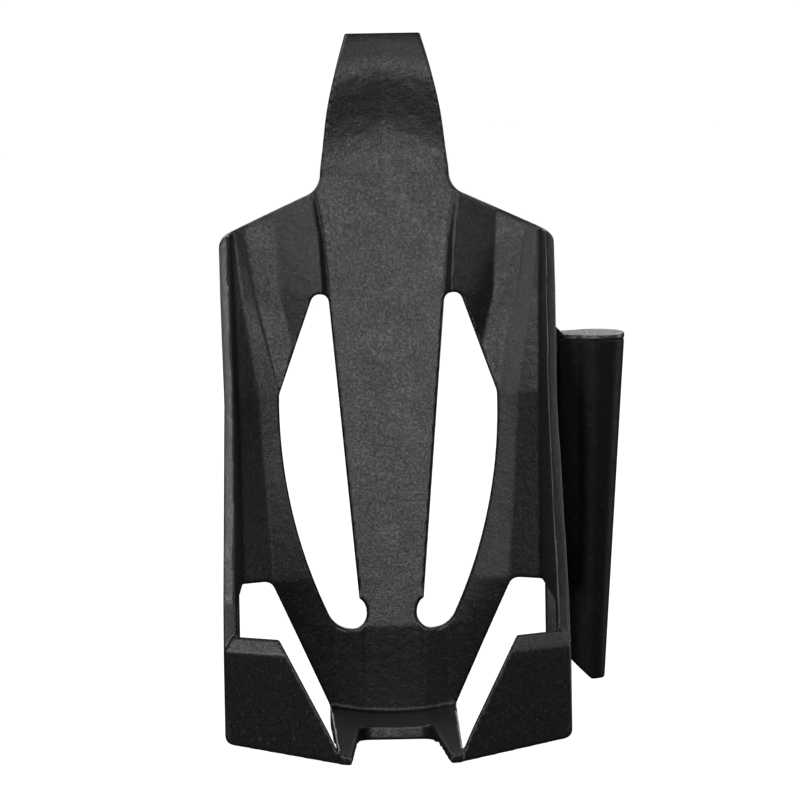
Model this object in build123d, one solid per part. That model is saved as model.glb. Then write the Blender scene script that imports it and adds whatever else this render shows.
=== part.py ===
"""Water bottle cage that slides onto a frame rail, with a small tool tube on its side wall.

Frame: millimetres, +Z up along the bottle, -Y towards the bottle (forward), +Y towards the
bicycle frame. The origin is midway between the two frame bolts, on the face of the rubber pad
that lies against the frame. Forward depths are counted from the front face of the spine.
"""

import os

from build123d import *

# ---------------------------------------------------------------- driving dimensions
BOLT_SPACING = 64.0          # bicycle frame standard
SPINE_Y = -16.0              # front face of the spine
WALL = 3.0                   # spine and panel thickness
OUTER_HALF = 41.2            # half width over the side walls at their foot
WAIST_HALF = 40.2            # and at their waist
TONGUE_TOP = 100.5           # top of the tongue
SHELL_TOP = 66.0             # where the tongue leaves the shell
SHELL_BOTTOM = -71.3         # lowest face of the floor

# window beside the spine (right-hand one; the left one is its mirror)
WINDOW_TOP = (16.4, 36.6)    # crown of its rounded top
WINDOW_CORNER = (26.9, 11.8)
WINDOW_FOOT_Z = -46.8

# frame rail and its fastenings
PAD_T = 1.5
RAIL_BASE_T = 2.0
RAIL_NECK_T = 2.0
RAIL_HEAD_T = 4.0
RAIL_HEAD_HALF = 6.6
RAIL_NECK_HALF = 4.4
RAIL_TOP = 51.0
RAIL_FOOT = -38.5
RAIL_STOP_TOP = -22.6        # the lower claw stands on this stop
HEAD_BACK = -PAD_T - RAIL_BASE_T - RAIL_NECK_T
HEAD_FRONT = HEAD_BACK - RAIL_HEAD_T
FIT = 0.05                   # running clearance on the rail and screws
BOLT_R = 2.5                 # thread, outside the rail and its pad
BOLT_NECK_R = 2.2            # reduced neck inside them
BOLT_HOLE_R = 2.75
BOLT_LENGTH = 16.0
BOLT_HEAD_R = 4.25
BOLT_HEAD_H = 2.8
WASHER_R = 4.4
WASHER_T = 1.0
COUNTERBORE_R = 4.7
HEAD_RECESS = 0.15           # bolt heads lie this far below the rail's face
BOLT_HEIGHTS = (-BOLT_SPACING / 2, BOLT_SPACING / 2)
SEAT_Y = HEAD_FRONT + BOLT_HEAD_H + WASHER_T + HEAD_RECESS
HEX_R = 1.73                 # hexagon socket, 3 mm across its flats

# clamp screw behind the right shoulder
CLAMP_Y = HEAD_BACK - RAIL_HEAD_T / 2
CLAMP_Z = 43.0
SCREW_R = 2.0
SCREW_HEAD_R = 3.5
SCREW_HEAD_H = 4.0
CLAMP_PAD_L = 2.2
CLAMP_GAP = 0.02
CLAMP_PAD_X = RAIL_HEAD_HALF + CLAMP_GAP
BOSS_END = 16.0
NUT_X = (10.45, 13.65)
NUT_HALF = 3.5

# tool tube on the right side wall
TUBE_DEPTH = 10.0            # forward depth of its axis
TUBE_TOP = 27.0
TUBE_FOOT = -58.5
TUBE_LEFT_TOP, TUBE_RIGHT_TOP = 42.8, 58.0
TUBE_LEFT_FOOT, TUBE_RIGHT_FOOT = 43.4, 51.9
TUBE_WALL = 1.6
WEB_FACE = 41.25             # face of the tube's web towards the side wall
WEB_FOOT = -30.0
WEB_HALF_TOP, WEB_HALF_FOOT = 5.0, 3.4
FIN_TOP = 28.6               # little fin of the web above the cap's left end
CAP_SLOPE = 0.8              # how much lower the cap's front is than its back
CAP_T = 1.8
SPIGOT_R = 6.1
SPIGOT_L = 9.0
SHANK_R = 1.25               # the steel needle fixed in the cap
SHANK_GRIP = 6.0
SHANK_FOOT = -32.0


# ---------------------------------------------------------------- helpers
def y_at(depth):
    """The Y of a forward depth in front of the spine's face."""
    return SPINE_Y - depth


def point(x, depth, z):
    """A point given by its forward depth."""
    return Vector(x, y_at(depth), z)


def section(points, z):
    """A flat polygon at height z from (x, forward depth) points."""
    return Face(Wire.make_polygon([point(x, d, z) for x, d in points], close=True))


def front_prism(face, near, far):
    """Extrude a face drawn in X and Z from one forward depth to another."""
    moved = (Plane.XZ.offset(-SPINE_Y + near) * face).faces()[0]
    return Solid.extrude(moved, Vector(0, near - far, 0))


def side_prism(points, x_from, x_to):
    """Extrude a (forward depth, z) polygon across X."""
    wire = Wire.make_polygon([Vector(x_from, y_at(d), z) for d, z in points], close=True)
    return Solid.extrude(Face(wire), Vector(x_to - x_from, 0, 0))


def box(x0, x1, y0, y1, z0, z1):
    """A box from its limits."""
    return Pos((x0 + x1) / 2, (y0 + y1) / 2, (z0 + z1) / 2) * Box(x1 - x0, y1 - y0, z1 - z0)


def rod_y(x, z, radius, y0, y1):
    """A cylinder along Y."""
    return Pos(x, (y0 + y1) / 2, z) * Rot(90, 0, 0) * Cylinder(radius, y1 - y0)


def rod_x(y, z, radius, x0, x1):
    """A cylinder along X."""
    return Pos((x0 + x1) / 2, y, z) * Rot(0, 90, 0) * Cylinder(radius, x1 - x0)


def rod_z(x, y, radius, z0, z1):
    """A cylinder along Z."""
    return Pos(x, y, (z0 + z1) / 2) * Cylinder(radius, z1 - z0)


def both_sides(solid):
    """The solid together with its mirror image."""
    return solid + mirror(solid, Plane.YZ)


# ---------------------------------------------------------------- cage body
# One level of the shell, half width outwards from the centre line:
# z, spine (groove, d, edge x), ridge (x, d), trough (x, d), crease (x, d), bend (x, d),
# wall root (x, d), rim (x, d), outer face x
SHELL_LEVELS = [
    (SHELL_TOP, (0.4, 0.8, 17.9), (18.9, 1.1), (28.0, -1.1), (34.0, -1.2), (37.4, -0.7),
     (38.2, 0.2), (39.0, 6.0), 41.0),
    (50.4, (0.4, 0.4, 15.5), (16.6, 2.4), (27.0, -0.9), (34.5, -0.7), (37.2, 0.0),
     (38.2, 1.0), (38.7, 11.5), 41.0),
    (36.6, (0.3, 0.0, 14.5), (15.8, 3.0), (26.5, -0.5), (32.5, 0.0), (35.6, 1.2),
     (37.7, 2.8), (38.3, 18.3), 40.8),
    (11.8, (0.2, 0.0, 12.6), (13.8, 2.8), (20.5, 0.9), (26.9, 0.4), (32.0, 3.6),
     (37.1, 8.0), (37.8, 30.3), WAIST_HALF),
    (-33.9, (0.1, 0.0, 8.5), (9.2, 0.6), (13.5, 0.9), (18.5, 1.4), (29.0, 5.2),
     (36.6, 10.5), (38.1, 54.0), 41.1),
    (-46.1, (0.0, 0.0, 6.5), (8.0, 0.3), (11.0, 0.1), (14.0, -0.1), (24.0, 1.6),
     (36.6, 10.5), (38.1, 57.4), OUTER_HALF),
    (SHELL_BOTTOM, (0.0, -3.0, 6.5), (8.0, -3.0), (11.0, -3.3), (14.0, -3.5), (24.0, -2.6),
     (36.6, 8.0), (37.8, 57.4), OUTER_HALF),
]
RIM_SLOPE = 0.8              # the rims' outer edges lie this far behind their inner ones


def shell_section(level):
    """The C-shaped section of the shell at one height."""
    z, (groove, spine_d, spine_x), ridge, trough, crease, bend, root, rim, outer_x = level
    inner = [(0, spine_d - groove), (spine_x, spine_d), ridge, trough, crease, bend, root, rim]
    slope = (root[1] - bend[1]) / (root[0] - bend[0])
    back_corner = root[1] + (outer_x - root[0]) * slope - WALL
    back_corner = min(back_corner, root[1] + 1.0)
    outer = [
        (outer_x, rim[1] - RIM_SLOPE),
        (outer_x - 0.3, back_corner),
        (bend[0] + 0.6, bend[1] - WALL),
        (crease[0] + 0.4, crease[1] - WALL),
        (trough[0] + 0.2, trough[1] - WALL),
        (ridge[0], min(ridge[1] - WALL, spine_d - 0.6)),
        (spine_x - 1.0, spine_d - WALL),
    ]
    half = inner + outer
    other = [(-x, d) for x, d in reversed(half) if x > 0]
    return section(half + other, z)


def shell():
    """The trough-shaped wall round the back and sides of the bottle."""
    result = None
    for upper, lower in zip(SHELL_LEVELS, SHELL_LEVELS[1:]):
        piece = Solid.make_loft(
            [shell_section(upper).outer_wire(), shell_section(lower).outer_wire()], ruled=True
        )
        result = piece if result is None else result + piece
    return result


def shoulder_trim():
    """Everything above the sloping shoulder line, on the right."""
    with BuildSketch() as sketch:
        with BuildLine():
            Polyline((15.9, 80), (15.9, 65.6))
            ThreePointArc((15.9, 65.6), (17.0, 62.7), (19.4, 60.9))
            Polyline((19.4, 60.9), (38.9, 51.9))
            ThreePointArc((38.9, 51.9), (40.3, 50.8), (41.0, 49.2))
            Polyline((41.0, 49.2), (50, 49.2), (50, 80), (15.9, 80))
        make_face()
    return front_prism(sketch.sketch, -12, 30)


def window_cut():
    """The long opening between the spine and the right-hand panel."""
    with BuildSketch() as sketch:
        with BuildLine():
            Polyline((14.25, 34.6), (8.0, -39.2))
            ThreePointArc((8.0, -39.2), (6.7, -40.6), (6.3, -42.2))
            ThreePointArc((6.3, -42.2), (6.9, -45.2), (9.4, WINDOW_FOOT_Z))
            ThreePointArc((9.4, WINDOW_FOOT_Z), (12.9, -46.0), (15.9, -42.4))
            ThreePointArc((15.9, -42.4), (24.2, -17.0), WINDOW_CORNER)
            Polyline(WINDOW_CORNER, (18.7, 34.9))
            ThreePointArc((18.7, 34.9), WINDOW_TOP, (14.25, 34.6))
        make_face()
    return front_prism(sketch.sketch, -12, 12)


POST_X = 37.6                # inner face of the post at the lower back corner
POST_FRONT = 13.5            # forward depth of its front face
SIDE_WINDOW = [              # opening in the side wall: forward depth, z
    (POST_FRONT, -34.3), (46.0, -34.9), (49.3, -36.0), (50.5, -38.6), (50.5, -44.0),
    (48.0, -50.0), (43.0, -57.0), (38.0, -63.8), (POST_FRONT, -63.8),
]
SILL_Z = -66.8               # underside of the low rail below it


def corner_cut():
    """The openings at the lower corner: outside the V-panel, and in the side wall."""
    with BuildSketch() as sketch:
        with BuildLine():
            Polyline((15.7, -66.2), (29.0, -35.6))
            ThreePointArc((29.0, -35.6), (29.9, -34.4), (31.5, -33.9))
            Polyline((31.5, -33.9), (POST_X - 1.0, -33.9))
            ThreePointArc((POST_X - 1.0, -33.9), (POST_X - 0.3, -34.2), (POST_X, -34.9))
            Polyline((POST_X, -34.9), (POST_X, -80), (15.7, -80), (15.7, -66.2))
        make_face()
    panel_part = front_prism(sketch.sketch, -12, 48)
    wall_part = side_prism(SIDE_WINDOW, 33.5, 50)
    foot_part = side_prism([(-20, SILL_Z), (48, SILL_Z), (48, -80), (-20, -80)], 33.5, 50)
    return panel_part + wall_part + foot_part


TONGUE_LEVELS = [            # z, half width, forward depth of the edges, groove depth
    (SHELL_TOP, 15.9, 0.8, 0.4),
    (71.0, 15.3, 1.2, 0.7),
    (77.0, 14.6, 2.0, 1.1),
    (83.0, 13.7, 3.1, 1.3),
    (88.0, 12.6, 3.9, 1.1),
    (92.0, 11.6, 4.2, 0.8),
    (96.4, 10.4, 3.8, 0.4),
    (TONGUE_TOP, 9.2, 2.6, 0.2),
]
TONGUE_T = 3.2


def tongue():
    """The tongue that leans forward to grip the bottle and flares back at its tip."""
    wires = []
    for z, half, depth, groove in TONGUE_LEVELS:
        ring = [
            (half, depth), (0, depth - groove), (-half, depth),
            (-half, depth - TONGUE_T), (0, depth - TONGUE_T - 0.5 * groove), (half, depth - TONGUE_T),
        ]
        wires.append(section(ring, z).outer_wire())
    return Solid.make_loft(wires)


# right-hand front block in plan: inner face line, clear of the bottle
BLOCK_IN_NEAR = (10.0, 76.0)         # towards the middle
BLOCK_IN_FAR = (37.9, 56.0)          # at the side wall
BLOCK_T = 3.0
BLOCK_TOP = -40.9
BLOCK_CHAMFER = 3.5
BLOCK_LEAN = 1.3                     # how far the foot leans in under the bottle


def block_wire(z, thickness, lean):
    """Plan outline of the right-hand block at one height."""
    run = Vector(BLOCK_IN_FAR[0] - BLOCK_IN_NEAR[0], BLOCK_IN_FAR[1] - BLOCK_IN_NEAR[1], 0)
    length = run.length
    nx, nd = -run.Y / length, run.X / length
    (ax, ad), (bx, bd) = BLOCK_IN_NEAR, BLOCK_IN_FAR
    corner_x = min(OUTER_HALF, bx + thickness)
    offset = thickness - lean
    outer_d = ad + nd * offset + (corner_x - ax - nx * offset) * run.Y / run.X
    ring = [
        (ax - nx * lean, ad - nd * lean),
        (bx - 0.3 * lean, bd - 1.3 * lean),
        (bx - 0.3 * lean, 48.0),
        (corner_x, 48.0),
        (corner_x, outer_d),
        (ax + nx * offset, ad + nd * offset),
    ]
    return section(ring, z).outer_wire()


def block():
    """The right-hand front block that closes round the bottle's foot."""
    shoulder = BLOCK_TOP - BLOCK_CHAMFER
    upper = Solid.make_loft(
        [block_wire(BLOCK_TOP, 0.9, 0.0), block_wire(shoulder, BLOCK_T, 0.2)], ruled=True
    )
    lower = Solid.make_loft(
        [block_wire(shoulder, BLOCK_T, 0.2), block_wire(SHELL_BOTTOM, BLOCK_T, BLOCK_LEAN)],
        ruled=True,
    )
    solid = upper + lower
    inner_edge = Face(Wire.make_polygon([
        Vector(x, z) for x, z in
        [(0, -30), (33.7, -30), (28.0, BLOCK_TOP), (16.9, -62.0), (14.6, -66.9), (11.6, -66.9),
         (11.6, -80), (0, -80)]
    ], close=True))
    return solid - front_prism(inner_edge, 40, 95)


def floor_strip():
    """The dished floor strip with the notch between its two prongs."""
    with BuildSketch() as sketch:
        with BuildLine():
            ThreePointArc((-17, -66.0), (0, -68.0), (17, -66.0))
            Polyline((17, -66.0), (17, -74), (-17, -74), (-17, -66.0))
        make_face()
    slab = front_prism(sketch.sketch, -5.5, 82)
    notch_back, notch_r = 22.5, 3.0
    with BuildSketch() as plan:
        with BuildLine():
            Polyline((0, -5.2), (15.7, -5.2), (15.7, 0), (14.6, 73), (14.6, 76.0), (11.6, 78.2),
                     (8.9, notch_back + notch_r))
            ThreePointArc((8.9, notch_back + notch_r), (8.0, notch_back + 0.9),
                          (5.8, notch_back))
            Polyline((5.8, notch_back), (0, notch_back), (0, -5.2))
        make_face()
        mirror(about=Plane.YZ)
    keep = mirror(extrude(plan.sketch, amount=30), Plane.XZ)
    keep = Pos(0, SPINE_Y, -90) * keep
    return slab & keep


def underside_trim():
    """What lies below the sloping underside of the floor and the blocks."""
    rising = side_prism([(-12, SHELL_BOTTOM), (24, SHELL_BOTTOM), (82, -68.9), (82, -85), (-12, -85)],
                        -60, 60)
    with BuildSketch() as sketch:
        with BuildLine():
            Polyline((8, -69.8), (39.4, -66.8))
            ThreePointArc((39.4, -66.8), (40.7, -66.1), (OUTER_HALF, -64.8))
            Polyline((OUTER_HALF, -64.8), (44, -64.8), (44, -85), (8, -85), (8, -69.8))
        make_face()
    wings = both_sides(front_prism(sketch.sketch, 30, 90))
    return rising + wings


def claw(z0, z1, half):
    """A claw behind the spine that wraps the rail's head."""
    return box(-half, half, SPINE_Y + WALL - 0.6, -PAD_T - RAIL_BASE_T - 0.3, z0, z1)


def rail_slot(z0, z1):
    """Room for the rail inside the claws."""
    head = box(-RAIL_HEAD_HALF - FIT, RAIL_HEAD_HALF + FIT, HEAD_FRONT - FIT, HEAD_BACK + FIT, z0, z1)
    neck = box(-RAIL_NECK_HALF - FIT, RAIL_NECK_HALF + FIT, HEAD_BACK, 0, z0, z1)
    return head + neck


def clamp_boss():
    """The boss behind the right shoulder for the clamp screw."""
    return box(8.0, BOSS_END, SPINE_Y + 1.2, -4.2, CLAMP_Z - 5.0, CLAMP_Z + 5.0)


def clamp_holes():
    """The screw's hole and the nut's slot, open at the top of the boss."""
    hole = rod_x(CLAMP_Y, CLAMP_Z, SCREW_R + FIT, 0, BOSS_END + 1)
    slot = box(NUT_X[0] - FIT, NUT_X[1] + FIT, CLAMP_Y - NUT_HALF - FIT, CLAMP_Y + NUT_HALF + FIT,
               CLAMP_Z - NUT_HALF - 0.1, CLAMP_Z + 8)
    return hole + slot


RIB_TOP, RIB_FOOT = 22.0, -28.0


def tube_rib(clearance=0.0, top=RIB_TOP, foot=RIB_FOOT):
    """The T-shaped rib on the right side wall that carries the tool tube."""
    y = y_at(TUBE_DEPTH)
    neck = box(WAIST_HALF - 0.8, 42.1, y - 1.6 - clearance, y + 1.6 + clearance, foot, top + clearance)
    head = box(41.75 - clearance, 42.9 + clearance, y - 3.2 - clearance, y + 3.2 + clearance,
               foot, top + clearance)
    return neck + head


def cage_body():
    """The whole moulding."""
    body = shell() - both_sides(shoulder_trim())
    body = body - both_sides(window_cut())
    body = body - both_sides(corner_cut())
    body = body + tongue()
    body = body + both_sides(block())
    body = body + floor_strip()
    body = body - underside_trim()
    body = body + claw(36.0, 50.0, 9.0) + claw(RAIL_STOP_TOP + 0.1, -8.0, 8.8)
    body = body + clamp_boss()
    body = body - rail_slot(-60, 60) - clamp_holes()
    body = body + tube_rib()
    return body


# ---------------------------------------------------------------- rail and fasteners
def frame_rail():
    """T-section rail with a stop at its foot and two counterbored bolt holes."""
    base = box(-RAIL_HEAD_HALF, RAIL_HEAD_HALF, -PAD_T - RAIL_BASE_T, -PAD_T, RAIL_FOOT, RAIL_TOP)
    neck = box(-RAIL_NECK_HALF, RAIL_NECK_HALF, HEAD_BACK, -PAD_T - RAIL_BASE_T, RAIL_FOOT, RAIL_TOP)
    head = box(-RAIL_HEAD_HALF, RAIL_HEAD_HALF, HEAD_FRONT, HEAD_BACK, RAIL_FOOT, RAIL_TOP)
    stop = box(-RAIL_HEAD_HALF, RAIL_HEAD_HALF, HEAD_BACK, -PAD_T - RAIL_BASE_T,
               RAIL_FOOT, RAIL_STOP_TOP)
    rail = base + neck + head + stop
    for z in BOLT_HEIGHTS:
        rail = rail - rod_y(0, z, BOLT_HOLE_R, -20, 5)
        rail = rail - rod_y(0, z, COUNTERBORE_R, -20, SEAT_Y)
    return rail


def rail_pad():
    """Rubber pad between the rail and the frame tube."""
    pad = box(-RAIL_HEAD_HALF, RAIL_HEAD_HALF, -PAD_T, 0, RAIL_FOOT, RAIL_TOP)
    for z in BOLT_HEIGHTS:
        pad = pad - rod_y(0, z, BOLT_HOLE_R, -5, 5)
    return pad


def frame_bolts():
    """Two M5 bolts with low heads and hex sockets."""
    bolts = []
    for z in BOLT_HEIGHTS:
        under_head = SEAT_Y - WASHER_T
        neck = rod_y(0, z, BOLT_NECK_R, under_head, 0)
        thread = rod_y(0, z, BOLT_R, 0, under_head + BOLT_LENGTH)
        head = rod_y(0, z, BOLT_HEAD_R, under_head - BOLT_HEAD_H, under_head)
        hexagon = Pos(0, under_head - BOLT_HEAD_H, z) * Rot(-90, 0, 0) * extrude(
            RegularPolygon(HEX_R, 6), amount=1.8)
        bolts.append(neck + thread + head - hexagon)
    return Compound(children=bolts)


def frame_washers():
    """A washer under each bolt head."""
    washers = []
    for z in BOLT_HEIGHTS:
        ring = rod_y(0, z, WASHER_R, SEAT_Y - WASHER_T, SEAT_Y)
        washers.append(ring - rod_y(0, z, BOLT_R + 0.15, -20, 0))
    return Compound(children=washers)


def clamp_pad():
    """The pad on the clamp screw's tip."""
    return rod_x(CLAMP_Y, CLAMP_Z, SCREW_R, CLAMP_PAD_X, CLAMP_PAD_X + CLAMP_PAD_L)


def clamp_screw():
    """M4 socket head screw."""
    start = CLAMP_PAD_X + CLAMP_PAD_L + CLAMP_GAP
    head_start = BOSS_END + 0.6
    shank = rod_x(CLAMP_Y, CLAMP_Z, SCREW_R, start, head_start)
    head = rod_x(CLAMP_Y, CLAMP_Z, SCREW_HEAD_R, head_start, head_start + SCREW_HEAD_H)
    hexagon = Pos(head_start + SCREW_HEAD_H, CLAMP_Y, CLAMP_Z) * Rot(0, -90, 0) * extrude(
        RegularPolygon(HEX_R, 6), amount=2.2)
    return shank + head - hexagon


def clamp_nut():
    """Square nut in the boss."""
    nut = box(*NUT_X, CLAMP_Y - NUT_HALF, CLAMP_Y + NUT_HALF,
              CLAMP_Z - NUT_HALF - 0.1, CLAMP_Z + NUT_HALF - 0.1)
    return nut - rod_x(CLAMP_Y, CLAMP_Z, SCREW_R + 0.03, 5, 20)


# ---------------------------------------------------------------- tool tube
TUBE_Y = y_at(TUBE_DEPTH)
CENTRE_TOP = (TUBE_LEFT_TOP + TUBE_RIGHT_TOP) / 2
RADIUS_TOP = (TUBE_RIGHT_TOP - TUBE_LEFT_TOP) / 2
CENTRE_FOOT = (TUBE_LEFT_FOOT + TUBE_RIGHT_FOOT) / 2
RADIUS_FOOT = (TUBE_RIGHT_FOOT - TUBE_LEFT_FOOT) / 2
RIM_Z = TUBE_TOP - CAP_T
CLEAN_BORE_Z = RIM_Z - SPIGOT_L - 1.0


def tapered(x0, r0, z0, x1, r1, z1):
    """A leaning cone between two circles."""
    wires = [Wire.make_circle(r, Plane((x, TUBE_Y, z))) for x, r, z in ((x0, r0, z0), (x1, r1, z1))]
    return Solid.make_loft(wires, ruled=True)


def axis_at(z):
    """Centre x and radius of the tube at one height."""
    share = (TUBE_TOP - z) / (TUBE_TOP - TUBE_FOOT)
    return (CENTRE_TOP + (CENTRE_FOOT - CENTRE_TOP) * share,
            RADIUS_TOP + (RADIUS_FOOT - RADIUS_TOP) * share)


def web_section(x, half, z, inset=0.0):
    """Outline of the web between the tube's middle and an edge of that half width at x."""
    centre, radius = axis_at(z)
    reach = 0.97 * radius - inset
    return section([
        (x, TUBE_DEPTH - half), (centre - 1.0, TUBE_DEPTH - reach),
        (centre, TUBE_DEPTH - reach), (centre, TUBE_DEPTH + reach),
        (centre - 1.0, TUBE_DEPTH + reach), (x, TUBE_DEPTH + half),
    ], z).outer_wire()


def web():
    """The web that joins the tube to its sliding face, tapered off at its foot."""
    upper = Solid.make_loft([
        web_section(WEB_FACE, WEB_HALF_TOP, RIM_Z), web_section(WEB_FACE, WEB_HALF_FOOT, WEB_FOOT + 7),
    ], ruled=True)
    lower = Solid.make_loft([
        web_section(WEB_FACE, WEB_HALF_FOOT, WEB_FOOT + 7),
        web_section(WEB_FACE + 1.2, WEB_HALF_FOOT - 0.8, WEB_FOOT - 4),
    ], ruled=True)
    return upper + lower


def fin():
    """The fin at the web's upper end."""
    with BuildSketch() as sketch:
        with BuildLine():
            Polyline((WEB_FACE, RIM_Z - 1), (WEB_FACE, FIN_TOP))
            ThreePointArc((WEB_FACE, FIN_TOP), (41.6, 27.6), (42.4, TUBE_TOP))
            Polyline((42.4, TUBE_TOP), (42.4, RIM_Z - 1), (WEB_FACE, RIM_Z - 1))
        make_face()
    return front_prism(sketch.sketch, TUBE_DEPTH - 3.6, TUBE_DEPTH + 3.6)


def tool_tube():
    """Tapered tube, closed at its foot, with the web that slides over the wall's rib."""
    rim_x, rim_r = axis_at(RIM_Z)
    body = tapered(rim_x, rim_r, RIM_Z, CENTRE_FOOT, RADIUS_FOOT, TUBE_FOOT)
    body = body + web() + fin()
    body = body - rod_z(CENTRE_TOP, TUBE_Y, SPIGOT_R + FIT, CLEAN_BORE_Z, TUBE_TOP + 1)
    body = body - tapered(CENTRE_TOP, SPIGOT_R + FIT, CLEAN_BORE_Z + 0.01,
                          CENTRE_FOOT + 0.2, RADIUS_FOOT - TUBE_WALL + 0.3, TUBE_FOOT + 6)
    slant = side_prism([(-10, -45), (30, -45), (30, -70), (-10, -70)], 40, 60)
    with BuildSketch() as sketch:
        with BuildLine():
            Polyline((40, -50.4), (48.4, TUBE_FOOT), (48.4, -70), (40, -70), (40, -50.4))
        make_face()
    body = body - (slant & front_prism(sketch.sketch, -10, 30))
    return body - tube_rib(FIT, RIB_TOP, WEB_FOOT - 5)


def tube_cap():
    """Drop-shaped cap with a sloping top, a hollow spigot and a groove for its seal."""
    rim_x, rim_r = axis_at(RIM_Z)
    head = tapered(CENTRE_TOP, RADIUS_TOP - 0.05, TUBE_TOP, rim_x, rim_r, RIM_Z)
    lobe = Solid.make_loft([
        web_section(42.6, WEB_HALF_TOP - 0.1, TUBE_TOP, 0.1), web_section(42.6, WEB_HALF_TOP, RIM_Z),
    ], ruled=True)
    near, far = TUBE_DEPTH - 8.0, TUBE_DEPTH + 8.0
    above = side_prism([(near, TUBE_TOP), (near, TUBE_TOP + 5), (far, TUBE_TOP + 5),
                        (far, TUBE_TOP - CAP_SLOPE)], 40, 60)
    spigot = rod_z(CENTRE_TOP, TUBE_Y, SPIGOT_R, RIM_Z - SPIGOT_L, RIM_Z)
    groove = rod_z(CENTRE_TOP, TUBE_Y, SPIGOT_R + 1, RIM_Z - 4.4, RIM_Z - 3.0)
    groove = groove - rod_z(CENTRE_TOP, TUBE_Y, SPIGOT_R - 1.2, RIM_Z - 4.4, RIM_Z - 3.0)
    hole = rod_z(CENTRE_TOP, TUBE_Y, SHANK_R, RIM_Z - SPIGOT_L - 1, RIM_Z - SPIGOT_L + SHANK_GRIP)
    return (head + lobe - above) + spigot - groove - hole


def cap_o_ring():
    """The seal in the spigot's groove."""
    return Pos(CENTRE_TOP, TUBE_Y, RIM_Z - 3.7) * Torus(SPIGOT_R - 0.6, 0.6)


def tool_shank():
    """Steel needle with a pointed tip and an eye for a tyre plug."""
    top = RIM_Z - SPIGOT_L + SHANK_GRIP
    rod = rod_z(CENTRE_TOP, TUBE_Y, SHANK_R, SHANK_FOOT + 5, top)
    tip = Pos(CENTRE_TOP, TUBE_Y, SHANK_FOOT + 2.5) * Cone(0.25, SHANK_R, 5)
    eye = box(CENTRE_TOP - 2, CENTRE_TOP + 2, TUBE_Y - 0.45, TUBE_Y + 0.45,
              SHANK_FOOT + 6, SHANK_FOOT + 12)
    return rod + tip - eye


# ---------------------------------------------------------------- write every node
NODES = {
    "cage_body": cage_body,
    "frame_rail": frame_rail,
    "rail_pad": rail_pad,
    "frame_bolts": frame_bolts,
    "frame_washers": frame_washers,
    "clamp_screw": clamp_screw,
    "clamp_nut": clamp_nut,
    "clamp_pad": clamp_pad,
    "tool_tube": tool_tube,
    "tube_cap": tube_cap,
    "cap_o_ring": cap_o_ring,
    "tool_shank": tool_shank,
}

if __name__ == "__main__":
    os.makedirs("parts", exist_ok=True)
    for name, make in NODES.items():
        export_step(make(), f"parts/{name}.step")
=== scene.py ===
"""Looks of the bicycle bottle cage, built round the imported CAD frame.

Metres in the row frame: +Z up along the bottle, -Y forward to the bottle, +X to the side
with the tool tube. Sizes written in millimetres are turned into metres by MM.
"""

import math

import bmesh
import bpy
from mathutils import Matrix, Vector


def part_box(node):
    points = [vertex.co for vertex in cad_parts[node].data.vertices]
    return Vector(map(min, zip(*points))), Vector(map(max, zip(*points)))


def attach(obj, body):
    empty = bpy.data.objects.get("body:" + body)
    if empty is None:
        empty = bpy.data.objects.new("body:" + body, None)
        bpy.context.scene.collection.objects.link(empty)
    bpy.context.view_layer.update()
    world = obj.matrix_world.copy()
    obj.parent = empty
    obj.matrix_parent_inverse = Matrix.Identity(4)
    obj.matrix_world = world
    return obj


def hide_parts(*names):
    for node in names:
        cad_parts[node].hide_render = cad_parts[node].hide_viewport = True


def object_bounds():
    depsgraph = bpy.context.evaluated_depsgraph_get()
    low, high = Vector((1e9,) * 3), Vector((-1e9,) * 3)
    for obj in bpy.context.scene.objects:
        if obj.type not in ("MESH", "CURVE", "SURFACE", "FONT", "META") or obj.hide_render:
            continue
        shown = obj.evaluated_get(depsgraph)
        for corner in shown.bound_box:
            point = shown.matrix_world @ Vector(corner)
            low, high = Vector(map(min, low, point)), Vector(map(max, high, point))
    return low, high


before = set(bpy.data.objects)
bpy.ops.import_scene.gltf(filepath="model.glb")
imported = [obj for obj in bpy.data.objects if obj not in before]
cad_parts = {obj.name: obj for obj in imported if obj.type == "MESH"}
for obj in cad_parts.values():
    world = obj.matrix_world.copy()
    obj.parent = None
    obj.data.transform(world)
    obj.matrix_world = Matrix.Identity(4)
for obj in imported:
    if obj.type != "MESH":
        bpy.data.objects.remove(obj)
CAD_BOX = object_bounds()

MM = 0.001
SCENE = bpy.context.scene


# ---------------------------------------------------------------- camera
TARGET = Vector((2.9, -16.0, 10.0)) * MM
DISTANCE = 1.25
AZIMUTH = math.radians(-1.35)
ELEVATION = math.radians(4.5)
ROLL = math.radians(0.98)
VIEW_WIDTH = 0.1976                  # what the frame shows across at the target
SENSOR = 36
CLIP = (0.05, 100)


def make_camera():
    """The camera at the viewing angle of the reference."""
    look = Vector((
        -math.sin(AZIMUTH) * math.cos(ELEVATION),
        math.cos(AZIMUTH) * math.cos(ELEVATION),
        -math.sin(ELEVATION),
    ))
    level = Vector((math.cos(AZIMUTH), math.sin(AZIMUTH), 0))
    up = level.cross(look)
    right = level * math.cos(ROLL) - up * math.sin(ROLL)
    up = level * math.sin(ROLL) + up * math.cos(ROLL)
    data = bpy.data.cameras.new("camera")
    data.sensor_width = SENSOR
    data.lens = data.sensor_width * DISTANCE * (1.0 / VIEW_WIDTH)
    data.clip_start, data.clip_end = CLIP
    camera = bpy.data.objects.new("camera", data)
    SCENE.collection.objects.link(camera)
    place = Matrix((right, up, -look)).transposed().to_4x4()
    place.translation = TARGET - look * DISTANCE
    camera.matrix_world = place
    SCENE.camera = camera


make_camera()


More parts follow.
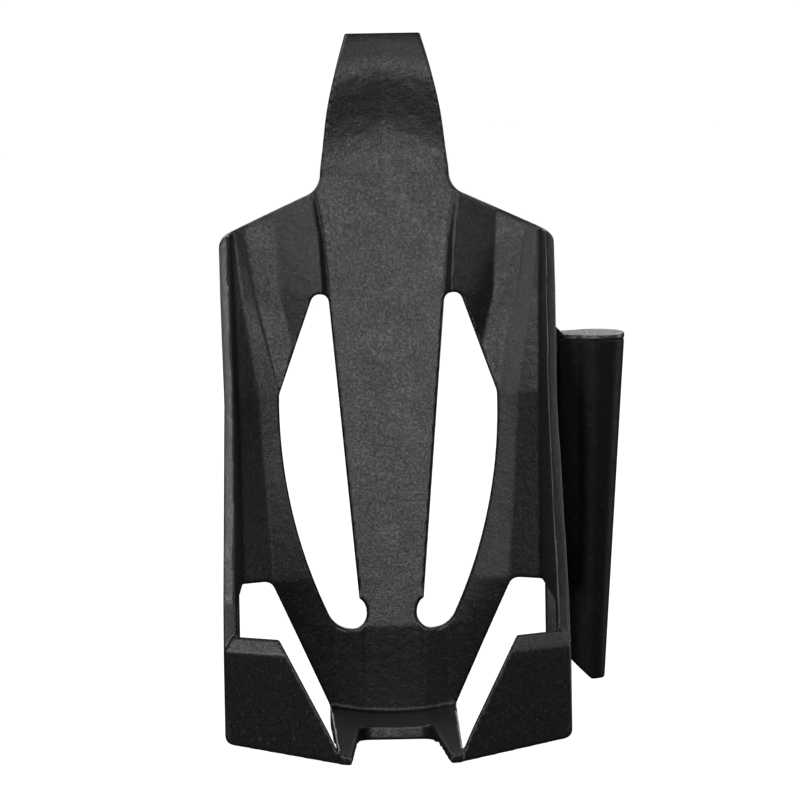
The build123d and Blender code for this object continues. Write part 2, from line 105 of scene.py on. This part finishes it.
# ---------------------------------------------------------------- materials
CLOUD_SCALE = 160.0                  # noise scales are per metre
CLOUD_GLOSS = 0.02                   # how far the clouds change the roughness
FINE_GLOSS = 0.08                    # how far the grain changes the roughness
SPECK_RANGE = (0.62, 0.76)           # noise values where the pale specks fade in
SPECK_TINT = 3.6
EDGE_RANGE = (0.53, 0.62)            # pointiness where a convex edge starts to take a painted highlight and to polish
# how far convex edges are paled towards the light colour: a painted highlight
EDGE_HIGHLIGHT_TINT = 1.6
EDGE_GLOSS = 0.08
METAL_LINES = 900.0
METAL_CLOUDS = 260.0
METAL_TINT = 0.86
METAL_LINE_DEPTH = 0.006 * MM


def new_material(name):
    """A new node material, its node tree and its Principled shader."""
    material = bpy.data.materials.new(name)
    material.use_nodes = True
    tree = material.node_tree
    tree.nodes.clear()
    shader = tree.nodes.new("ShaderNodeBsdfPrincipled")
    output = tree.nodes.new("ShaderNodeOutputMaterial")
    tree.links.new(shader.outputs["BSDF"], output.inputs["Surface"])
    return material, tree, shader


def noise_node(tree, scale, detail=2.0, rough=0.5, stretch=None):
    """A noise texture in object space; stretch scales its axes."""
    where = tree.nodes.new("ShaderNodeTexCoord").outputs["Object"]
    if stretch:
        mapping = tree.nodes.new("ShaderNodeMapping")
        mapping.inputs["Scale"].default_value = stretch
        tree.links.new(where, mapping.inputs["Vector"])
        where = mapping.outputs["Vector"]
    node = tree.nodes.new("ShaderNodeTexNoise")
    node.inputs["Scale"].default_value = scale
    node.inputs["Detail"].default_value = detail
    node.inputs["Roughness"].default_value = rough
    tree.links.new(where, node.inputs["Vector"])
    return node.outputs["Fac"]


def spread(tree, value, low, high, out_low, out_high):
    """A value remapped from one range to another."""
    node = tree.nodes.new("ShaderNodeMapRange")
    for socket, number in zip(("From Min", "From Max", "To Min", "To Max"),
                              (low, high, out_low, out_high)):
        node.inputs[socket].default_value = number
    tree.links.new(value, node.inputs["Value"])
    return node.outputs["Result"]


def calc(tree, operation, a, b):
    """A maths node of two values, each a socket or a number."""
    node = tree.nodes.new("ShaderNodeMath")
    node.operation = operation
    for socket, value in zip(node.inputs, (a, b)):
        if isinstance(value, (int, float)):
            socket.default_value = value
        else:
            tree.links.new(value, socket)
    return node.outputs["Value"]


def mix_colours(tree, amount, first, second):
    """A colour between two, each a socket or three numbers."""
    node = tree.nodes.new("ShaderNodeMix")
    node.data_type = "RGBA"
    tree.links.new(amount, node.inputs["Factor"])
    colours = [s for s in node.inputs if s.type == "RGBA"]
    for socket, colour in zip(colours, (first, second)):
        if isinstance(colour, tuple):
            socket.default_value = (*colour, 1)
        else:
            tree.links.new(colour, socket)
    return [s for s in node.outputs if s.type == "RGBA"][0]


def bump(tree, heights):
    """A chain of bump nodes from (height, depth in metres) pairs."""
    normal = None
    for height, depth in heights:
        node = tree.nodes.new("ShaderNodeBump")
        node.inputs["Strength"].default_value = 1.0
        node.inputs["Distance"].default_value = depth
        tree.links.new(height, node.inputs["Height"])
        if normal is not None:
            tree.links.new(normal, node.inputs["Normal"])
        normal = node.outputs["Normal"]
    return normal


def highlight_and_wear_edges(tree, low, high):
    """How far a point is on a convex edge, from 0 to 1: the mask of the painted edge highlight
    and of the polish.
    """
    geometry = tree.nodes.new("ShaderNodeNewGeometry")
    return spread(tree, geometry.outputs["Pointiness"], low, high, 0.0, 1.0)


def moulded_plastic(name, dark, light, rough, grain, grain_depth, specular=0.5):
    """Moulded plastic: fine spark grain, cloudy gloss, and convex edges with a painted
    highlight in their colour, made glossier as if polished by handling.
    """
    material, tree, shader = new_material(name)
    fine = noise_node(tree, grain, 3.0, 0.6)
    broad = noise_node(tree, grain * 0.31, 2.0)
    clouds = noise_node(tree, CLOUD_SCALE, 3.0)
    speck = spread(tree, noise_node(tree, grain * 0.8, 1.0), *SPECK_RANGE, 0.0, 1.0)
    colour = mix_colours(tree, spread(tree, clouds, 0.35, 0.65, 0.0, 1.0), dark, light)
    colour = mix_colours(tree, speck, colour, tuple(SPECK_TINT * c for c in light))
    edges = highlight_and_wear_edges(tree, *EDGE_RANGE)
    # convex edges lifted towards a paler colour: a painted highlight
    colour = mix_colours(tree, calc(tree, "MULTIPLY", edges, 0.5), colour,
                         tuple(EDGE_HIGHLIGHT_TINT * c for c in light))
    tree.links.new(colour, shader.inputs["Base Color"])
    gloss = spread(tree, fine, 0.3, 0.7, rough + FINE_GLOSS, rough - FINE_GLOSS)
    gloss = calc(tree, "ADD", gloss,
                 spread(tree, clouds, 0.3, 0.7, CLOUD_GLOSS, -CLOUD_GLOSS))
    gloss = calc(tree, "SUBTRACT", gloss, calc(tree, "MULTIPLY", edges, EDGE_GLOSS))
    tree.links.new(gloss, shader.inputs["Roughness"])
    shader.inputs["Specular IOR Level"].default_value = specular
    tree.links.new(bump(tree, [(broad, grain_depth * 1.6), (fine, grain_depth)]),
                   shader.inputs["Normal"])
    return material


def metal(name, colour, rough, stretch, metallic=1.0):
    """Turned or brushed metal: fine lines along one way and cloudy gloss."""
    material, tree, shader = new_material(name)
    lines = noise_node(tree, METAL_LINES, 2.0, 0.6, stretch)
    clouds = noise_node(tree, METAL_CLOUDS, 2.0)
    tint = mix_colours(tree, spread(tree, clouds, 0.3, 0.7, 0.0, 1.0),
                       tuple(METAL_TINT * c for c in colour), colour)
    tree.links.new(tint, shader.inputs["Base Color"])
    gloss = calc(tree, "ADD", spread(tree, lines, 0.3, 0.7, rough - 0.06, rough + 0.08),
                 spread(tree, clouds, 0.3, 0.7, -0.04, 0.05))
    tree.links.new(gloss, shader.inputs["Roughness"])
    shader.inputs["Metallic"].default_value = metallic
    tree.links.new(bump(tree, [(lines, METAL_LINE_DEPTH)]), shader.inputs["Normal"])
    return material


NYLON = moulded_plastic("grained_nylon", (0.0075, 0.0075, 0.0077), (0.0095, 0.0095, 0.0098),
                        0.37, 1500.0, 0.05 * MM)
RAIL_NYLON = moulded_plastic("rail_nylon", (0.022, 0.022, 0.024), (0.03, 0.03, 0.032),
                             0.48, 1700.0, 0.03 * MM)
GLOSS = moulded_plastic("gloss_black", (0.0015, 0.0015, 0.0016), (0.003, 0.003, 0.0032),
                        0.52, 900.0, 0.02 * MM, specular=0.17)
# the cap's black plastic is made several times paler than the cage's: painted light for its
# flat top lit from above
CAP_PAINTED_LIT_PLASTIC = moulded_plastic("cap_black", (0.03, 0.03, 0.031), (0.045, 0.045, 0.046),
                              0.3, 1200.0, 0.008 * MM, specular=0.6)
RUBBER = moulded_plastic("pad_rubber", (0.014, 0.014, 0.014), (0.021, 0.021, 0.021),
                         0.72, 1100.0, 0.03 * MM, specular=0.35)
SEAL = moulded_plastic("seal_rubber", (0.01, 0.01, 0.01), (0.014, 0.014, 0.014),
                       0.45, 1400.0, 0.008 * MM)
STAINLESS = metal("stainless", (0.58, 0.58, 0.59), 0.28, (1, 14, 14))
NEEDLE_STEEL = metal("needle_steel", (0.5, 0.5, 0.51), 0.3, (12, 12, 1))
BLACK_STEEL = metal("black_steel", (0.05, 0.05, 0.055), 0.38, (14, 1, 1), metallic=0.8)
BRASS = metal("brass", (0.72, 0.53, 0.25), 0.3, (14, 1, 1))


# ---------------------------------------------------------------- mesh helpers
def finish_piece(obj, material, body, nodes):
    """Gives a piece its material and body, and hides the CAD nodes that it stands for."""
    obj.data.materials.clear()
    obj.data.materials.append(material)
    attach(obj, body)
    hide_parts(*nodes)
    return obj


def object_from(name, mesh):
    """A new object in the scene, with smooth faces."""
    mesh.polygons.foreach_set("use_smooth", [True] * len(mesh.polygons))
    obj = bpy.data.objects.new(name, mesh)
    SCENE.collection.objects.link(obj)
    return obj


def applied(obj):
    """The object with its modifiers applied to its mesh."""
    bpy.context.view_layer.update()
    graph = bpy.context.evaluated_depsgraph_get()
    mesh = bpy.data.meshes.new_from_object(obj.evaluated_get(graph))
    obj.modifiers.clear()
    obj.data = mesh
    mesh.polygons.foreach_set("use_smooth", [True] * len(mesh.polygons))
    return obj


WELD = 0.002 * MM
SMOOTH_FACTOR = 0.5


def soft_copy(node, name, voxel, passes):
    """A copy of a CAD node's mesh with softly rounded moulded edges."""
    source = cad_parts[node].data
    bm = bmesh.new()
    bm.from_mesh(source)
    bmesh.ops.remove_doubles(bm, verts=bm.verts, dist=WELD)
    mesh = bpy.data.meshes.new(name)
    bm.to_mesh(mesh)
    bm.free()
    mesh.materials.clear()
    obj = object_from(name, mesh)
    remesh = obj.modifiers.new("remesh", "REMESH")
    remesh.mode = "VOXEL"
    remesh.voxel_size = voxel
    smooth = obj.modifiers.new("smooth", "SMOOTH")
    smooth.factor = SMOOTH_FACTOR
    smooth.iterations = passes
    return applied(obj)


def thinned(obj, faces):
    """The piece with at most that many triangles."""
    obj.data.calc_loop_triangles()
    have = len(obj.data.loop_triangles)
    if have > faces:
        thin = obj.modifiers.new("thin", "DECIMATE")
        thin.ratio = faces / have
        applied(obj)
    return obj


def fold(angle, step):
    """An angle folded to its distance from the middle of the nearest step."""
    return (angle + step / 2) % step - step / 2


SEGMENTS = 96                        # round a turned piece
BOLT_PITCH = 0.8 * MM
SHARP_ANGLE = math.radians(38)
SQUARE_CORNER = 1.33                 # a square's corner radius over its half width
THREAD_DEPTH = 0.42                  # over the pitch
KNURL_DEPTH = 0.14 * MM


def spun(name, origin, axis, rows, ring=False, pitch=BOLT_PITCH):
    """A turned piece. Each row is (height, radius, kind) in metres, kind being one of
    round, hexagon, square, thread or knurl. A ring closes on itself; others end in points."""
    axis = Vector(axis).normalized()
    side = axis.orthogonal().normalized()
    other = axis.cross(side)
    bm = bmesh.new()
    loops = []
    for height, radius, kind in rows:
        centre = Vector(origin) + axis * height
        if radius == 0:
            loops.append([bm.verts.new(centre)])
            continue
        loop = []
        for i in range(SEGMENTS):
            turn = 2 * math.pi * i / SEGMENTS
            r = radius
            if kind == "hexagon":
                r = radius / math.cos(fold(turn, math.pi / 3))
            elif kind == "square":
                r = min(radius / math.cos(fold(turn, math.pi / 2)), radius * SQUARE_CORNER)
            elif kind == "thread":
                phase = (height / pitch - turn / (2 * math.pi)) % 1.0
                r = radius - THREAD_DEPTH * pitch * abs(2 * phase - 1)
            elif kind == "knurl":
                r = radius - KNURL_DEPTH * abs(2 * ((i / 4) % 1.0) - 1)
            across = side * (r * math.cos(turn))
            loop.append(bm.verts.new(centre + across + other * (r * math.sin(turn))))
        loops.append(loop)
    pairs = list(zip(loops, loops[1:]))
    if ring:
        pairs.append((loops[-1], loops[0]))
    for low, high in pairs:
        for i in range(SEGMENTS):
            j = (i + 1) % SEGMENTS
            if len(low) == 1:
                bm.faces.new((low[0], high[i], high[j]))
            elif len(high) == 1:
                bm.faces.new((low[i], high[0], low[j]))
            else:
                bm.faces.new((low[i], high[i], high[j], low[j]))
    bmesh.ops.recalc_face_normals(bm, faces=bm.faces)
    mesh = bpy.data.meshes.new(name)
    bm.to_mesh(mesh)
    bm.free()
    obj = object_from(name, mesh)
    mesh.set_sharp_from_angle(angle=SHARP_ANGLE)
    return obj


def middle(node):
    """The middle of a CAD node's box."""
    low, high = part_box(node)
    return (low + high) / 2


# ---------------------------------------------------------------- the moulding
CAGE_FACES = 196000
SMALL_FACES = 150000
cage = thinned(soft_copy("cage_body", "cage_moulding", 0.4 * MM, 4), CAGE_FACES)
finish_piece(cage, NYLON, "cage", ["cage_body"])

# ---------------------------------------------------------------- tool tube and cap
tube = thinned(soft_copy("tool_tube", "tube_shell", 0.3 * MM, 10), SMALL_FACES)
finish_piece(tube, GLOSS, "tube", ["tool_tube"])

cap = soft_copy("tube_cap", "cap_head", 0.2 * MM, 4)
finish_piece(cap, CAP_PAINTED_LIT_PLASTIC, "cap", ["tube_cap"])

seal_low, seal_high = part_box("cap_o_ring")
seal_r = (seal_high.z - seal_low.z) / 2
seal_ring = (seal_high.x - seal_low.x) / 2 - seal_r
SEAL_STEPS = 20
seal_rows = [(seal_r * math.sin(a), seal_ring + seal_r * math.cos(a), "round")
             for a in (2 * math.pi * i / SEAL_STEPS for i in range(SEAL_STEPS))]
seal = spun("cap_seal", middle("cap_o_ring"), (0, 0, 1), seal_rows, ring=True)
finish_piece(seal, SEAL, "cap", ["cap_o_ring"])

needle = soft_copy("tool_shank", "plug_needle", 0.13 * MM, 2)
finish_piece(needle, NEEDLE_STEEL, "cap", ["tool_shank"])

# ---------------------------------------------------------------- rail, pad and fasteners
rail = thinned(soft_copy("frame_rail", "frame_rail_skin", 0.26 * MM, 4), SMALL_FACES)
finish_piece(rail, RAIL_NYLON, "frame_mount", ["frame_rail"])

pad = soft_copy("rail_pad", "rail_pad_skin", 0.25 * MM, 3)
GROOVE_STEP = 3.2 * MM
GROOVE_DEPTH = 0.4 * MM
GROOVE_HALF = 0.6 * MM
GROOVE_SLANT = 0.5
GROOVED_FACE = -0.3 * MM             # only what lies beyond this, towards the frame, is grooved
for vertex in pad.data.vertices:
    if vertex.co.y > GROOVED_FACE:
        along = vertex.co.z + GROOVE_SLANT * vertex.co.x
        share = abs(fold(along, GROOVE_STEP)) / GROOVE_HALF
        vertex.co.y -= GROOVE_DEPTH * max(0.0, 1.0 - share * share)
finish_piece(pad, RUBBER, "frame_mount", ["rail_pad"])

bolts_low, bolts_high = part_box("frame_bolts")
BOLT_SPACING = 64.0 * MM
BOLT_HEAD_H = 2.8 * MM
BOLT_HEAD_R = 4.25 * MM
BOLT_NECK_R = 2.2 * MM
BOLT_R = 2.5 * MM
BOLT_THREAD_STEP = 0.1 * MM


def bolt_rows(length):
    """Rows of a low-head bolt from the face of its head."""
    rows = [
        (1.8 * MM, 0, "round"),
        (1.7 * MM, 1.45 * MM, "hexagon"),
        (0.25 * MM, 1.5 * MM, "hexagon"),
        (0.0, 1.72 * MM, "hexagon"),
        (0.0, 3.3 * MM, "round"),
        (0.08 * MM, 3.7 * MM, "round"),
        (0.3 * MM, 4.02 * MM, "round"),
        (0.65 * MM, 4.2 * MM, "round"),
        (1.1 * MM, BOLT_HEAD_R, "round"),
        (BOLT_HEAD_H - 0.15 * MM, BOLT_HEAD_R, "round"),
        (BOLT_HEAD_H, BOLT_HEAD_R - 0.15 * MM, "round"),
        (BOLT_HEAD_H, BOLT_NECK_R + 0.1 * MM, "round"),
        (BOLT_HEAD_H + 0.2 * MM, BOLT_NECK_R, "round"),
    ]
    height = -bolts_low.y
    rows.append((height - 0.3 * MM, BOLT_NECK_R, "round"))
    while height < length - 0.7 * MM:
        rows.append((height, BOLT_R, "thread"))
        height += BOLT_THREAD_STEP
    rows += [(length - 0.55 * MM, BOLT_R - 0.3 * MM, "round"),
             (length, BOLT_R - 0.75 * MM, "round"), (length, 0, "round")]
    return rows


for tag, z in (("lower", -BOLT_SPACING / 2), ("upper", BOLT_SPACING / 2)):
    place = (0, bolts_low.y, z)
    bolt = spun("frame_bolt_" + tag, place, (0, 1, 0), bolt_rows(bolts_high.y - bolts_low.y))
    finish_piece(bolt, STAINLESS, "frame_mount", ["frame_bolts"])

washer_low, washer_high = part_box("frame_washers")
washer_t = washer_high.y - washer_low.y
washer_r = (washer_high.x - washer_low.x) / 2
for tag, z in (("lower", -BOLT_SPACING / 2), ("upper", BOLT_SPACING / 2)):
    rows = [
        (0, BOLT_R + 0.3 * MM, "round"), (0, washer_r - 0.15 * MM, "round"),
        (0.15 * MM, washer_r, "round"), (washer_t - 0.15 * MM, washer_r, "round"),
        (washer_t, washer_r - 0.15 * MM, "round"), (washer_t, BOLT_R + 0.3 * MM, "round"),
        (washer_t - 0.15 * MM, BOLT_R + 0.15 * MM, "round"),
        (0.15 * MM, BOLT_R + 0.15 * MM, "round"),
    ]
    washer = spun("frame_washer_" + tag, (0, washer_low.y, z), (0, 1, 0), rows, ring=True)
    finish_piece(washer, STAINLESS, "frame_mount", ["frame_washers"])

screw_low, screw_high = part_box("clamp_screw")
screw_mid = middle("clamp_screw")
screw_l = screw_high.x - screw_low.x
SCREW_R = 2.0 * MM
SCREW_HEAD_R = 3.5 * MM
SCREW_HEAD_H = 4.0 * MM
SCREW_PITCH = 0.7 * MM
SCREW_THREAD_STEP = 0.0875 * MM
screw_rows = [
    (2.2 * MM, 0, "round"),
    (2.1 * MM, 1.45 * MM, "hexagon"),
    (0.25 * MM, 1.5 * MM, "hexagon"),
    (0, 1.72 * MM, "hexagon"),
    (0, 2.9 * MM, "round"),
    (0.1 * MM, 3.2 * MM, "round"),
    (0.35 * MM, SCREW_HEAD_R, "knurl"),
    (SCREW_HEAD_H - 0.9 * MM, SCREW_HEAD_R, "knurl"),
    (SCREW_HEAD_H - 0.8 * MM, SCREW_HEAD_R - 0.16 * MM, "round"),
    (SCREW_HEAD_H - 0.1 * MM, SCREW_HEAD_R - 0.16 * MM, "round"),
    (SCREW_HEAD_H, SCREW_HEAD_R - 0.3 * MM, "round"),
    (SCREW_HEAD_H, SCREW_R, "round"),
]
height = SCREW_HEAD_H + 0.3 * MM
while height < screw_l - 0.6 * MM:
    screw_rows.append((height, SCREW_R, "thread"))
    height += SCREW_THREAD_STEP
screw_rows += [(screw_l - 0.5 * MM, SCREW_R - 0.3 * MM, "round"),
               (screw_l, SCREW_R - 0.6 * MM, "round"), (screw_l, 0, "round")]
screw = spun("clamp_key_screw", (screw_high.x, screw_mid.y, screw_mid.z), (-1, 0, 0),
             screw_rows, pitch=SCREW_PITCH)
finish_piece(screw, BLACK_STEEL, "clamp_key", ["clamp_screw"])

nut_low, nut_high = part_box("clamp_nut")
nut_t = nut_high.x - nut_low.x
nut_half = (nut_high.y - nut_low.y) / 2
nut_rows = [
    (0, SCREW_R + 0.35 * MM, "round"), (0, nut_half - 0.5 * MM, "round"),
    (0.25 * MM, nut_half, "square"), (nut_t - 0.05 * MM, nut_half, "square"),
    (nut_t, nut_half - 0.15 * MM, "square"), (nut_t, SCREW_R + 0.35 * MM, "round"),
    (nut_t - 0.3 * MM, SCREW_R + 0.03 * MM, "round"), (0.3 * MM, SCREW_R + 0.03 * MM, "round"),
]
nut = spun("clamp_square_nut", (nut_low.x, screw_mid.y, screw_mid.z), (1, 0, 0), nut_rows,
           ring=True)
finish_piece(nut, STAINLESS, "cage", ["clamp_nut"])

tip_low, tip_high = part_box("clamp_pad")
tip_l = tip_high.x - tip_low.x
tip_rows = [
    (0, 0, "round"), (0, SCREW_R - 0.25 * MM, "round"), (0.25 * MM, SCREW_R, "round"),
    (0.9 * MM, SCREW_R, "round"), (1.05 * MM, SCREW_R - 0.2 * MM, "round"),
    (1.3 * MM, SCREW_R - 0.2 * MM, "round"), (1.45 * MM, SCREW_R, "round"),
    (tip_l - 0.15 * MM, SCREW_R, "round"), (tip_l, SCREW_R - 0.15 * MM, "round"),
    (tip_l, 0, "round"),
]
tip = spun("clamp_brass_pad", (tip_low.x, screw_mid.y, screw_mid.z), (1, 0, 0), tip_rows)
finish_piece(tip, BRASS, "clamp_tip", ["clamp_pad"])


# ---------------------------------------------------------------- studio
FLOOR_HALF = 6.0
FLOOR_GAP = 0.2 * MM
FLOOR_GREY = (0.2, 0.2, 0.2, 1)
FLOOR_ROUGH = 0.9
FLOOR_GLOW = 1.0
ROOM_LIGHT = 0.012
BACKDROP_LIGHT = 1.05
WHITE = (1, 1, 1, 1)


def make_floor():
    """A wide pale floor just under the object."""
    half, z = FLOOR_HALF, CAD_BOX[0].z - FLOOR_GAP
    mesh = bpy.data.meshes.new("floor")
    mesh.from_pydata([(-half, -half, z), (half, -half, z), (half, half, z), (-half, half, z)],
                     [], [(0, 1, 2, 3)])
    floor = bpy.data.objects.new("floor", mesh)
    SCENE.collection.objects.link(floor)
    material = bpy.data.materials.new("pale_floor")
    material.use_nodes = True
    shader = material.node_tree.nodes["Principled BSDF"]
    shader.inputs["Base Color"].default_value = FLOOR_GREY
    shader.inputs["Roughness"].default_value = FLOOR_ROUGH
    shader.inputs["Specular IOR Level"].default_value = 0.0
    shader.inputs["Emission Color"].default_value = WHITE
    shader.inputs["Emission Strength"].default_value = FLOOR_GLOW
    mesh.materials.append(material)
    floor.visible_diffuse = False
    floor.visible_glossy = False


def softbox(name, azimuth, elevation, distance, width, height, power):
    """A soft area lamp that faces the object. Azimuth 0 is in front, positive to the right."""
    a, e = math.radians(azimuth), math.radians(elevation)
    back = Vector((math.sin(a) * math.cos(e), -math.cos(a) * math.cos(e), math.sin(e)))
    data = bpy.data.lights.new(name, "AREA")
    data.shape = "RECTANGLE"
    data.size, data.size_y = width, height
    data.energy = power
    lamp = bpy.data.objects.new(name, data)
    lamp.location = TARGET + back * distance
    lamp.rotation_euler = (-back).to_track_quat("-Z", "Y").to_euler()
    lamp.visible_camera = False
    SCENE.collection.objects.link(lamp)


def make_world():
    """A white backdrop for the camera, and a dim grey room for everything else."""
    world = bpy.data.worlds.new("studio")
    world.use_nodes = True
    tree = world.node_tree
    tree.nodes.clear()
    room = tree.nodes.new("ShaderNodeBackground")
    room.inputs["Color"].default_value = WHITE
    room.inputs["Strength"].default_value = ROOM_LIGHT
    backdrop = tree.nodes.new("ShaderNodeBackground")
    backdrop.inputs["Color"].default_value = WHITE
    backdrop.inputs["Strength"].default_value = BACKDROP_LIGHT
    path = tree.nodes.new("ShaderNodeLightPath")
    mix = tree.nodes.new("ShaderNodeMixShader")
    output = tree.nodes.new("ShaderNodeOutputWorld")
    tree.links.new(path.outputs["Is Camera Ray"], mix.inputs["Fac"])
    tree.links.new(room.outputs["Background"], mix.inputs[1])
    tree.links.new(backdrop.outputs["Background"], mix.inputs[2])
    tree.links.new(mix.outputs["Shader"], output.inputs["Surface"])
    SCENE.world = world


make_floor()
make_world()
# name, azimuth and elevation in degrees, distance, width and height in metres, power in watts
SOFTBOXES = [
    ("front", 0, -3, 1.2, 0.38, 0.3, 2.85),
    ("front_left", -26, -3, 1.2, 0.38, 0.3, 0.9),
    ("front_right", 14, -3, 1.2, 0.38, 0.3, 0.35),
    ("front_high", 0, 26, 1.2, 0.38, 0.3, 1.15),
    ("near_left", -32, 10, 1.2, 0.38, 0.3, 1.05),
    ("low_left", -52, 10, 1.2, 0.38, 0.3, 1.15),
    ("left", -75, 26, 1.2, 0.38, 0.3, 2.8),
    ("high_left", -40, 45, 1.2, 0.38, 0.3, 3.9),
    ("low_right", 52, 10, 1.2, 0.38, 0.3, 1.6),
    ("right", 56, 26, 1.2, 0.38, 0.3, 1.0),
    ("high_right", 75, 45, 1.2, 0.38, 0.3, 1.5),
    ("right_edge", 108, 6, 1.1, 0.3, 0.8, 2.4),
    ("back_left", -150, 35, 1.2, 0.6, 0.5, 4.0),
    ("back_right", 155, 35, 1.2, 0.6, 0.5, 4.0),
    ("backdrop", 180, 6, 1.2, 0.9, 0.35, 1.2),
]
for settings in SOFTBOXES:
    softbox(*settings)
SCENE.view_settings.view_transform = "Standard"
